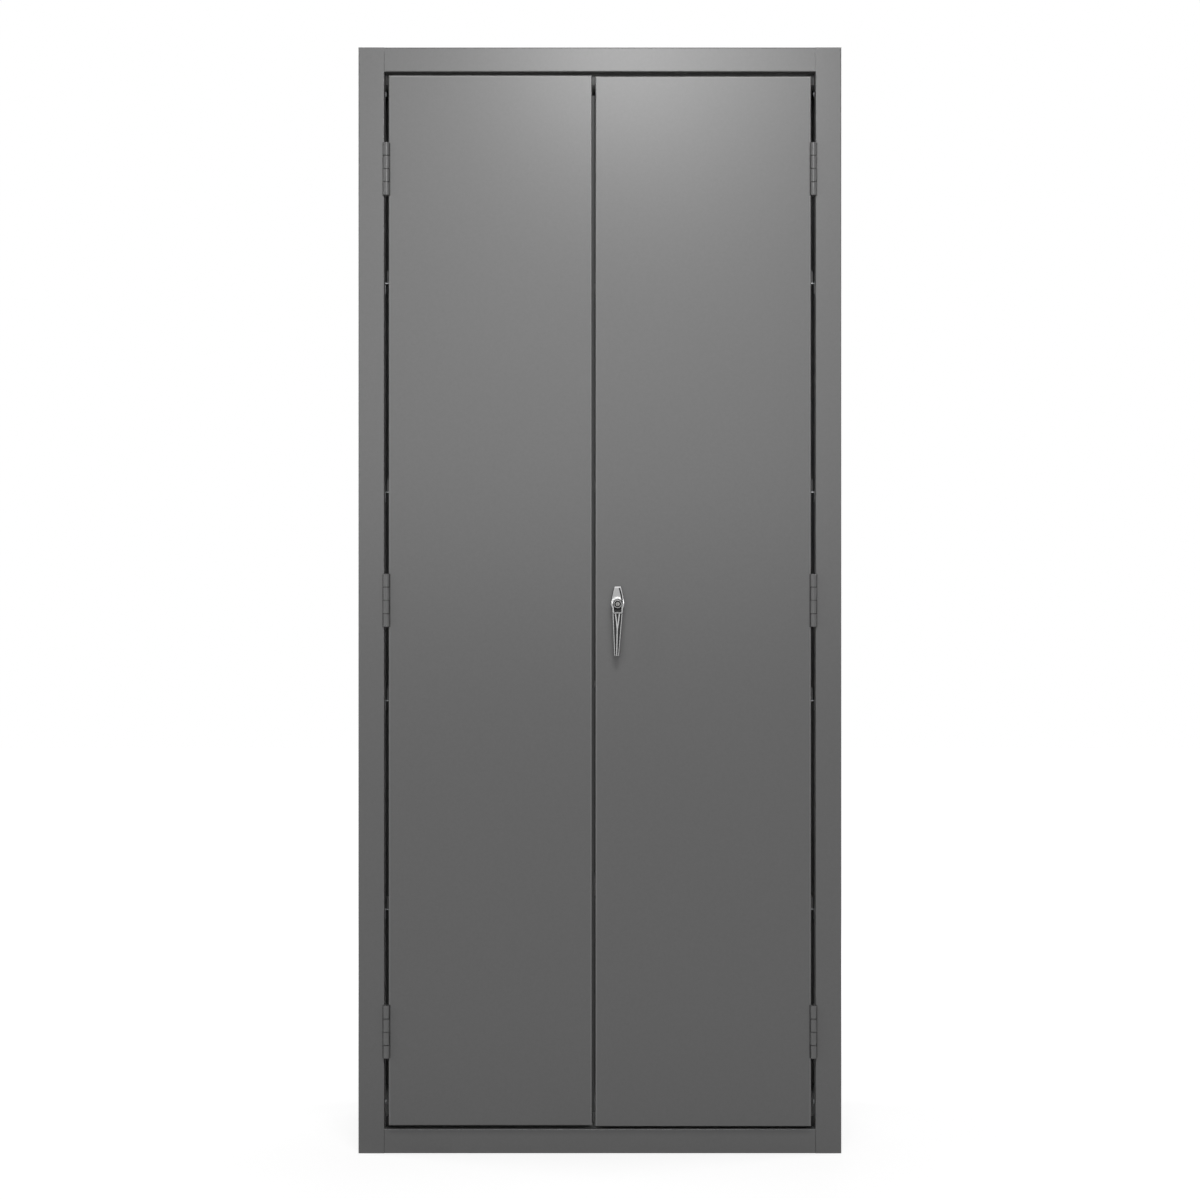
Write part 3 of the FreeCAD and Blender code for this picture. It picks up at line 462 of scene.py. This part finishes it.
nylonLook = {
    "dark": grey(0.62, (1.0, 0.985, 0.94)), "light": grey(0.7, (1.0, 0.985, 0.95)),
    "haze": (90.0, 4.0), "roughLow": 0.42, "roughHigh": 0.55,
    "glow": 0.05, "glowReach": (0.002, 0.002, 0.0015),
    "grain": (1500.0, 2.0), "grainDepth": 0.00003, "grainStrength": 0.4,
}


def mouldedNylon(name, look):
    skin = Surface(name)
    spot = skin.place()
    haze = skin.noise(spot, *look["haze"])
    grain = skin.noise(spot, *look["grain"])
    return skin.finish({
        "Base Color": skin.colour(haze, look["dark"], look["light"]),
        "Roughness": skin.across(haze, look["roughLow"], look["roughHigh"]),
        "Subsurface Weight": look["glow"],
        "Subsurface Radius": look["glowReach"],
        "Normal": skin.bump(grain, look["grainDepth"], look["grainStrength"]),
    })


rubberLook = {
    "dark": grey(0.018), "dusty": grey(0.035),
    "dust": (220.0, 5.0), "roughLow": 0.7, "roughHigh": 0.85,
    "grain": (1800.0, 3.0), "grainDepth": 0.00005, "grainStrength": 0.6,
}


def blackRubber(name, look):
    skin = Surface(name)
    spot = skin.place()
    dust = skin.noise(spot, *look["dust"])
    grain = skin.noise(spot, *look["grain"])
    return skin.finish({
        "Base Color": skin.colour(dust, look["dark"], look["dusty"]),
        "Roughness": skin.across(dust, look["roughLow"], look["roughHigh"]),
        "Normal": skin.bump(grain, look["grainDepth"], look["grainStrength"]),
    })


finishes = {
    "grey_paint": powderCoat("greyPowderCoat", coatLook),
    "shelf_paint": powderCoat("shelfPowderCoat", coatLook),
    "zinc": zincPlate("zincPlate", zincLook),
    "chrome": castChrome("castChrome", chromeLook),
    "lock_chrome": ringChrome("lockRingChrome", lockLook),
    "lock_plug": turnedPlug("turnedPlug", plugLook),
    "nylon": mouldedNylon("mouldedNylon", nylonLook),
    "rubber": blackRubber("blackRubber", rubberLook),
}


def leaves(half):
    return ["%s_%s_%s_leaf" % (side, level, half) for side in ("left", "right") for level in hingeLevels]


# coats that differ from the common one, and the pieces that wear them
ownCoats = {
    # the door coats carry a painted highlight along their folded edges
    "leftDoorPowderCoat": {"pieces": ["left_door_panel"], "edges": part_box("left_door_panel")},
    "rightDoorPowderCoat": {"pieces": ["right_door_panel"], "edges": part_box("right_door_panel")},
    # painted shade: the meeting strip and the upper stop are darker copies of the coat, and both stops'
    # ends turn near-black
    "shadedPowderCoat": {"pieces": ["meeting_strip"], "level": 0.13, "gloss": 0.12},
    "upperStopPowderCoat": {"pieces": ["top_door_stop"], "level": 0.07, "gloss": 0.2, "endDark": 1.0},
    "lowerStopPowderCoat": {"pieces": ["bottom_door_stop"], "gloss": 0.2, "endDark": 1.0},
    # painted shade beside the hinge barrels, fainter on the side where a knuckle joins its own leaf
    "doorLeafPowderCoat": {"pieces": leaves("door"), "joinedSide": -1, "barrelDark": 0.95},
    "frameLeafPowderCoat": {"pieces": leaves("frame"), "joinedSide": 1, "barrelDark": 0.95},
}


def dressNodes():
    nodeFinishes = {"upright_bolts": zincPlate("boltPlate", boltLook)}
    for name, changes in ownCoats.items():
        coat = powderCoat(name, dict(coatLook, **changes))
        for piece in changes["pieces"]:
            nodeFinishes[piece] = coat
    for entry in frame["record"]["subparts"]:
        node = frame["nodes"][entry["node"]]
        finish = nodeFinishes.get(entry["node"], finishes[entry["material_slot"]])
        if not node.material_slots:
            node.data.materials.append(finish)
        for slot in node.material_slots:
            slot.material = finish


dressNodes()
print("finishes made:", len(finishes) + len(ownCoats) + 1)


# the cast lever: one closed skin, in millimetres, whose front follows the photographed relief

leverLook = {
    # the outline, with the tail above the hub and the arm below it
    "hubRadius": 13.0, "hubBlend": 1.2,
    "tailTop": 34.6, "tailTopHalf": 6.5, "tailRoot": 2.5, "tailRootHalf": 12.9,
    "shoulder": 15.5, "shoulderHalf": 11.4, "shoulderBlend": 0.8,
    "armEnd": 99.8, "armEndHalf": 4.8, "rootDepth": 6.0, "armRootHalf": 10.6, "lean": 2.0,
    # how far the front and the back stand from the door
    "hubFront": 37.4, "hubFall": 1.0, "armEndFront": 40.6, "edgeRound": 1.1,
    "slopeStart": 13.0, "slopeBend": 6.5, "slopeEndFront": 24.0, "bevel": 4.2, "bevelDrop": 4.0,
    "hubBack": 9.6, "backStart": 24.0, "armBack": 26.4, "armEndBack": 31.2,
    "tailBack": 12.2, "tailBackFade": (7.0, 12.0),
    # the collar round the lock, and the well that the lock fills
    "collarFront": 41.6, "collarDrop": 4.0, "collarIn": 7.9, "collarOut": 10.0,
    "collarBlend": 0.5, "collarMargin": 1.0, "hubDull": 0.45, "wellRadius": 7.3, "wellFloor": 20.2,
    # the arm: a groove with a fork of ribs, a recess under the collar, a bar between the two
    "rim": 2.0, "grooveTop": 19.0, "grooveDepth": 3.4, "grooveSlope": 0.85,
    "grooveTopFade": (-0.8, 0.6), "tipFade": (0.9, 1.9),
    "ribHalf": 1.15, "forkLeft": -4.2, "forkRight": 3.3, "leftJoin": 48.0, "rightJoin": 50.0,
    "recessHalf": 7.4, "recessEnd": 16.2, "recessDepth": 4.2,
    "recessTopFade": (-0.8, 0.2), "recessEndFade": 0.9, "recessSideFade": 1.0,
    "barDull": 0.4, "barTopFade": (-0.6, 0.0), "barEndFade": (0.0, 1.5),
    # the tail: chamfered, crowned and blasted, with a channel along its right side, darkened as painted
    # shade, and its cap and right rim lightened as painted highlight
    "hubFade": (-1.0, 2.0), "chamfer": 1.2, "chamferDrop": 1.0,
    "crown": 3.4, "crownStart": 7.0, "crownFall": 18.0,
    "channelIn": 2.9, "channelOut": 5.6, "channelDepth": 2.2, "channelEnd": 31.5,
    "channelLip": 0.4, "channelWall": 1.0, "channelEndFade": 1.5,
    "blastedFade": (-0.6, 0.4), "capFade": (3.6, 4.8),
    "tailPolish": 0.42, "rimPolish": 0.8, "bendPolish": 0.12,
    "backLook": {"hollow": 0.0, "blasted": 0.0, "polish": 0.5},
    # the grid of the skin
    "rows": 400, "edgeRows": (0.05, 0.2, 0.45, 0.8), "sharpAngle": 50,
    "columns": (10, 4, 6, 4, 8, 5, 4, 5, 8, 4, 6, 4, 10), "closest": 0.1,
    "tailColumns": 6, "channelColumn": 1.3, "armColumnsFrom": 15.0,
}


def at(u, depth, reach):
    # a point on the handle: u to the right, depth below the hub, reach in front of the door
    return (hubX + u * metre, faceY - reach * metre, hubZ - depth * metre)


def riseFrom(place, fade, value):
    # eases from 0 to 1 over a fade whose start and end are given from a place
    return ease(place + fade[0], place + fade[1], value)


def leverEdges(depth, look):
    hub = math.sqrt(max(0.0, look["hubRadius"] ** 2 - depth ** 2))
    if depth >= 0:
        share = (depth - look["rootDepth"]) / (look["armEnd"] - look["rootDepth"])
        half = mixed(look["armRootHalf"], look["armEndHalf"], share)
        shift = -look["lean"] * share
    else:
        lower = (-depth - look["tailRoot"]) / (look["shoulder"] - look["tailRoot"])
        upper = (-depth - look["shoulder"]) / (look["tailTop"] - look["shoulder"])
        below = mixed(look["tailRootHalf"], look["shoulderHalf"], lower)
        above = mixed(look["shoulderHalf"], look["tailTopHalf"], upper)
        half = -softMax(-below, -above, look["shoulderBlend"]) if depth < -look["tailRoot"] else 0.0
        shift = 0.0
    left = softMax(hub, half - shift, look["hubBlend"])
    right = softMax(hub, half + shift, look["hubBlend"])
    return -left, right


def edgeGaps(u, depth, look):
    # how far it is to the nearer side and to the nearer end
    left, right = leverEdges(depth, look)
    return min(u - left, right - u), min(look["armEnd"] - depth, depth + look["tailTop"])


def edgeFall(u, depth, look):
    # how far the rounded edge falls away from a face
    radius = look["edgeRound"]
    inside = max(0.0, radius - max(0.0, min(edgeGaps(u, depth, look))))
    return radius - math.sqrt(radius ** 2 - inside ** 2)


def leverFront(depth, look):
    if depth >= 0:
        share = clamp(depth / look["armEnd"])
        return mixed(look["hubFront"], look["armEndFront"], share)
    bevelStart = look["tailTop"] - look["bevel"]
    beyond = max(0.0, -depth - look["slopeStart"] + look["slopeBend"] / 2)
    bent = min(beyond, look["slopeBend"])
    fallen = bent ** 2 / (2 * look["slopeBend"]) + beyond - bent
    whole = bevelStart - look["slopeStart"]
    hub = look["hubFront"] - look["hubFall"] * ease(0.0, look["slopeStart"] / 2, -depth)
    front = mixed(hub, look["slopeEndFront"], min(fallen / whole, 1.0))
    return front - clamp((-depth - bevelStart) / look["bevel"]) * look["bevelDrop"]


def leverBack(depth, look):
    if depth >= 0:
        root = clamp((depth - look["rootDepth"]) / (look["backStart"] - look["rootDepth"]))
        run = clamp((depth - look["backStart"]) / (look["armEnd"] - look["backStart"]))
        return mixed(mixed(look["hubBack"], look["armBack"], root), look["armEndBack"], run)
    return mixed(look["hubBack"], look["tailBack"], ease(*look["tailBackFade"], -depth))


def ribPlaces(depth, look):
    # the two ribs of the fork, which join into one further down the arm
    share = (depth - look["rootDepth"]) / (look["armEnd"] - look["rootDepth"])
    middle = -look["lean"] * share
    leftShare = clamp((depth - look["grooveTop"]) / (look["leftJoin"] - look["grooveTop"]))
    rightShare = clamp((depth - look["grooveTop"]) / (look["rightJoin"] - look["grooveTop"]))
    return mixed(look["forkLeft"], middle, leftShare), mixed(look["forkRight"], middle, rightShare)


def armRelief(u, depth, look):
    # how much lower than the plain front the arm is, and how hollow, blasted and polished; the hollows'
    # darkness is partly painted shade
    sideGap = edgeGaps(u, depth, look)[0]
    ribGap = min(abs(u - rib) for rib in ribPlaces(depth, look)) - look["ribHalf"]
    groove = riseFrom(look["grooveTop"], look["grooveTopFade"], depth)
    groove *= ease(*look["tipFade"], look["armEnd"] - depth)
    groove *= ease(0.0, look["grooveSlope"], sideGap - look["rim"])
    groove *= ease(0.0, look["grooveSlope"], ribGap)
    recess = riseFrom(look["collarOut"], look["recessTopFade"], math.hypot(u, depth))
    recess *= ease(0.0, look["recessEndFade"], look["recessEnd"] - depth)
    recess *= ease(0.0, look["recessSideFade"], look["recessHalf"] - abs(u))
    bar = riseFrom(look["recessEnd"], look["barTopFade"], depth)
    bar *= 1 - riseFrom(look["grooveTop"], look["barEndFade"], depth)
    lowered = groove * look["grooveDepth"] + recess * look["recessDepth"]
    return lowered, max(groove, recess, bar * look["barDull"]), 0.0, 0.0


def tailRelief(u, depth, look):
    # the same four values for the tail
    fromRight = leverEdges(depth, look)[1] - u
    sideGap, endGap = edgeGaps(u, depth, look)
    away = riseFrom(look["collarOut"], look["hubFade"], math.hypot(u, depth))
    chamfered = away * clamp(1 - sideGap / look["chamfer"])
    crowned = ease(look["crownStart"], look["slopeStart"], -depth) * (u / look["hubRadius"]) ** 2
    crowned *= 1 - ease(look["crownFall"], look["channelEnd"], -depth)
    lipStart = look["channelIn"] - look["channelLip"]
    channel = ease(lipStart, look["channelIn"] + look["channelLip"], fromRight) * away
    channel *= ease(0.0, look["channelWall"], look["channelOut"] - fromRight)
    channel *= ease(0.0, look["channelEndFade"], look["channelEnd"] + depth)
    uncapped = ease(*look["capFade"], endGap)
    blasted = away * riseFrom(look["chamfer"], look["blastedFade"], sideGap) * uncapped * (1 - channel)
    rim = 1 - ease(lipStart, look["channelIn"], fromRight)
    face = mixed(look["bendPolish"], look["tailPolish"], blasted)
    lowered = chamfered * look["chamferDrop"] + crowned * look["crown"] + channel * look["channelDepth"]
    # painted shade darkens the channel; painted highlight lightens the cap and the right rim
    return lowered, channel, blasted, max(1 - uncapped, rim * look["rimPolish"], face) * away


def leverRelief(u, depth, look):
    # front reach, and how hollow, blasted and polished the casting is at one place; the hollows' darkness
    # is partly painted shade, and the polish share partly painted highlight
    relief = armRelief if depth > 0 else tailRelief
    lowered, hollow, blasted, polish = relief(u, depth, look)
    front = leverFront(depth, look) - lowered
    radius = math.hypot(u, depth)
    if radius < look["collarOut"] + look["collarMargin"]:
        outward = ease(look["collarIn"], look["collarOut"], radius)
        collar = mixed(look["collarFront"], look["hubFront"] - look["collarDrop"], outward)
        front = softMax(front, collar, look["collarBlend"])
    hollow = max(hollow, look["hubDull"] * (1 - ease(look["collarIn"], look["hubRadius"], radius)))
    if radius < look["wellRadius"]:
        front, hollow = look["wellFloor"], 1.0
    return front - edgeFall(u, depth, look), hollow, blasted, polish


def leverRows(look):
    # evenly spaced rows, and some more at both ends, where the edges are rounded
    total = look["armEnd"] + look["tailTop"]
    rows = {-look["tailTop"] + total * (index / look["rows"]) for index in range(look["rows"] + 1)}
    rows.update(-look["tailTop"] + step for step in look["edgeRows"])
    rows.update(look["armEnd"] - step for step in look["edgeRows"])
    return sorted(rows)


def spreadOut(lines, closest):
    # keeps neighbouring lines apart and in order
    for index in range(1, len(lines) - 1):
        lines[index] = max(lines[index], lines[index - 1] + closest)
    for index in range(len(lines) - 2, 0, -1):
        lines[index] = min(lines[index], lines[index + 1] - closest)
    return lines


def leverColumns(depth, look):
    # columns follow the rims, the ribs and the channel, so that their edges stay clean
    left, right = leverEdges(depth, look)
    rim, slope, half, closest = look["rim"], look["grooveSlope"], look["ribHalf"], look["closest"]
    first, second = ribPlaces(depth, look)
    middle = (first + second) / 2
    arm = [left, left + rim, left + rim + slope, first - half - slope, first - half]
    arm += [min(first + half, middle - 2 * closest), min(first + half + slope, middle - closest)]
    arm += [max(second - half - slope, middle + closest), max(second - half, middle + 2 * closest)]
    arm += [second + half, second + half + slope, right - rim - slope, right - rim, right]
    outer, inner, lip = right - look["channelOut"], right - look["channelIn"], look["channelLip"]
    near, far, steps = left + 2 * look["chamfer"], outer - look["channelWall"], look["tailColumns"]
    tail = [left, left + look["chamfer"]]
    tail += [mixed(near, far, step / steps) for step in range(steps + 1)]
    tail += [outer, inner - look["channelColumn"], inner - lip, inner + lip, right]
    share = ease(0.0, look["armColumnsFrom"], depth)
    lines = spreadOut([mixed(low, high, share) for low, high in zip(tail, arm)], closest)
    columns = []
    for low, high, count in zip(lines, lines[1:], look["columns"]):
        columns += [mixed(low, high, index / count) for index in range(count)]
    return columns + [right]


def leverFaces(rows, columns):
    # front and back, then the two sides and the two ends between them, all facing outwards
    width = columns + 1
    backStart = (rows + 1) * width
    faces = []
    for row in range(rows):
        for column in range(columns):
            front = row * width + column
            back = backStart + front
            faces.append((front, front + width, front + width + 1, front + 1))
            faces.append((back, back + 1, back + width + 1, back + width))
        for column in (0, columns):
            front = row * width + column
            back = backStart + front
            side = (front, back, back + width, front + width)
            faces.append(side if column == 0 else side[::-1])
    for row in (0, rows):
        for column in range(columns):
            front = row * width + column
            back = backStart + front
            end = (front, front + 1, back + 1, back)
            faces.append(end if row == 0 else end[::-1])
    return faces


def buildLever(look):
    depths = leverRows(look)
    places = [(u, depth) for depth in depths for u in leverColumns(depth, look)]
    fronts = [leverRelief(u, depth, look) for u, depth in places]
    points = [at(u, depth, front[0]) for (u, depth), front in zip(places, fronts)]
    points += [at(u, depth, leverBack(depth, look) + edgeFall(u, depth, look)) for u, depth in places]
    mesh = bpy.data.meshes.new("leverCasting")
    mesh.from_pydata(points, [], leverFaces(len(depths) - 1, sum(look["columns"])))
    for index, (name, backValue) in enumerate(look["backLook"].items(), 1):
        layer = mesh.attributes.new(name, "FLOAT", "POINT")
        values = [front[index] for front in fronts] + [backValue] * len(places)
        layer.data.foreach_set("value", values)
    mesh.shade_smooth()
    mesh.set_sharp_from_angle(angle=math.radians(look["sharpAngle"]))
    lever = bpy.data.objects.new("leverCasting", mesh)
    bpy.context.scene.collection.objects.link(lever)
    mesh.materials.append(finishes["chrome"])
    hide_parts("handle_lever")
    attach(lever, "handle")


buildLever(leverLook)
print("lever cast")


# floor, white surroundings and soft studio light

stageLook = {
    "floorSize": 16.0, "floorLevel": 0.35, "baseFade": 0.004,
    "nearLift": 0.82, "farLift": 1.0, "liftStart": 0.8, "liftEnd": 3.0,
    "worldLevel": 0.08, "backdropLevel": 1.0,
}


def seenDirectly(skin):
    kinds = ("Is Camera Ray", "Is Glossy Ray", "Is Transmission Ray")
    camera, glossy, through = (skin.node("ShaderNodeLightPath", out=kind) for kind in kinds)
    return skin.maths("MAXIMUM", camera, skin.maths("MAXIMUM", glossy, through))


def floorLift(skin, look):
    # the floor brightens away from the cabinet and stays dark inside its base
    spot = skin.place()
    away = skin.length(skin.stretched(spot, (1.0, 1.0, 0.0)))
    lift = skin.fade(away, look["liftStart"], look["liftEnd"], look["nearLift"], look["farLift"])
    halfWidth, middleY = bodyHigh[0], (bodyLow[1] + bodyHigh[1]) / 2
    halfDepth = bodyHigh[1] - middleY
    beside = skin.fade(abs(skin.part(spot, "X")), halfWidth - look["baseFade"], halfWidth)
    behind = skin.fade(abs(skin.part(spot, "Y") - middleY), halfDepth - look["baseFade"], halfDepth)
    return lift * skin.maths("MAXIMUM", beside, behind)


def layFloor(look):
    size = look["floorSize"]
    mesh = bpy.data.meshes.new("floor")
    corners = [(-size, -size, 0), (size, -size, 0), (size, size, 0), (-size, size, 0)]
    mesh.from_pydata(corners, [], [(0, 1, 2, 3)])
    floor = bpy.data.objects.new("floor", mesh)
    bpy.context.scene.collection.objects.link(floor)
    skin = Surface("paleFloor")
    diffuse = skin.node("ShaderNodeBsdfDiffuse", None, {"Color": grey(look["floorLevel"])})
    glowing = seenDirectly(skin) * floorLift(skin, look)
    glow = skin.node("ShaderNodeEmission", None, {"Color": skin.colour(glowing, grey(0.0), grey(1.0))})
    both = skin.node("ShaderNodeAddShader", None, {0: diffuse, 1: glow})
    skin.node("ShaderNodeOutputMaterial", None, {"Surface": both})
    mesh.materials.append(skin.material)


def lightWorld(look):
    world = bpy.data.worlds.new("studio")
    world.use_nodes = True
    bpy.context.scene.world = world
    skin = Surface("studio", world.node_tree)
    strength = skin.fade(seenDirectly(skin), 0.0, 1.0, look["worldLevel"], look["backdropLevel"])
    backdrop = skin.node("ShaderNodeBackground", None, {"Color": grey(1.0), "Strength": strength})
    skin.node("ShaderNodeOutputWorld", None, {"Surface": backdrop})


frontMiddle = (0.0, -0.28, 1.3)
lampLooks = {
    "keyLamp": {"place": (0.12, -3.0, 2.69), "aim": frontMiddle, "size": (0.6, 0.45), "power": 19.0},
    "frontPanel": {"place": (-0.08, -3.2, 2.02), "aim": frontMiddle, "size": (2.0, 1.7), "power": 21.5},
    "sidePanel": {"place": (-3.0, -2.0, 1.6), "aim": frontMiddle, "size": (1.2, 1.2), "power": 8.0},
    "leftPanel": {"place": (-3.2, 0.7, 1.9), "aim": (-0.47, 0.1, 1.1), "size": (1.6, 1.8), "power": 36.0},
    "rightPanel": {"place": (3.2, 0.7, 1.9), "aim": (0.47, 0.1, 1.1), "size": (1.6, 1.8), "power": 36.0},
    "backPanel": {"place": (0.3, 3.6, 2.2), "aim": (0.0, 0.33, 1.1), "size": (1.8, 1.8), "power": 40.0},
}
innerLook = {"power": 1.4, "width": 0.78, "heightShare": 0.6, "depth": 0.50}


def hangLamp(name, place, direction, size, power):
    # one rectangular lamp that shines along direction
    data = bpy.data.lights.new(name, "AREA")
    data.shape = "RECTANGLE"
    data.size, data.size_y = size
    data.energy = power
    lamp = bpy.data.objects.new(name, data)
    lamp.location = place
    lamp.rotation_euler = direction.to_track_quat("-Z", "Y").to_euler()
    bpy.context.scene.collection.objects.link(lamp)
    return lamp


def hangStudioLamps(looks):
    for name, look in looks.items():
        direction = Vector(look["aim"]) - Vector(look["place"])
        hangLamp(name, look["place"], direction, look["size"], look["power"])


def hangInnerLamps(look):
    # one dim wide lamp at the back of each space between the shelves, facing the doors
    floors = [openingBottom] + sorted(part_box("shelf_%d" % number)[1][2] for number in (1, 2, 3, 4))
    tops = floors[1:] + [openingTop]
    for number, (low, high) in enumerate(zip(floors, tops)):
        place = (0.0, faceY + look["depth"], (low + high) / 2)
        size = (look["width"], (high - low) * look["heightShare"])
        lamp = hangLamp("innerLamp%d" % number, place, Vector((0.0, -1.0, 0.0)), size, look["power"])
        lamp.visible_camera = False
        lamp.visible_glossy = False


layFloor(stageLook)
lightWorld(stageLook)
hangStudioLamps(lampLooks)
hangInnerLamps(innerLook)
bpy.context.scene.view_settings.view_transform = "Standard"
print("stage lit")
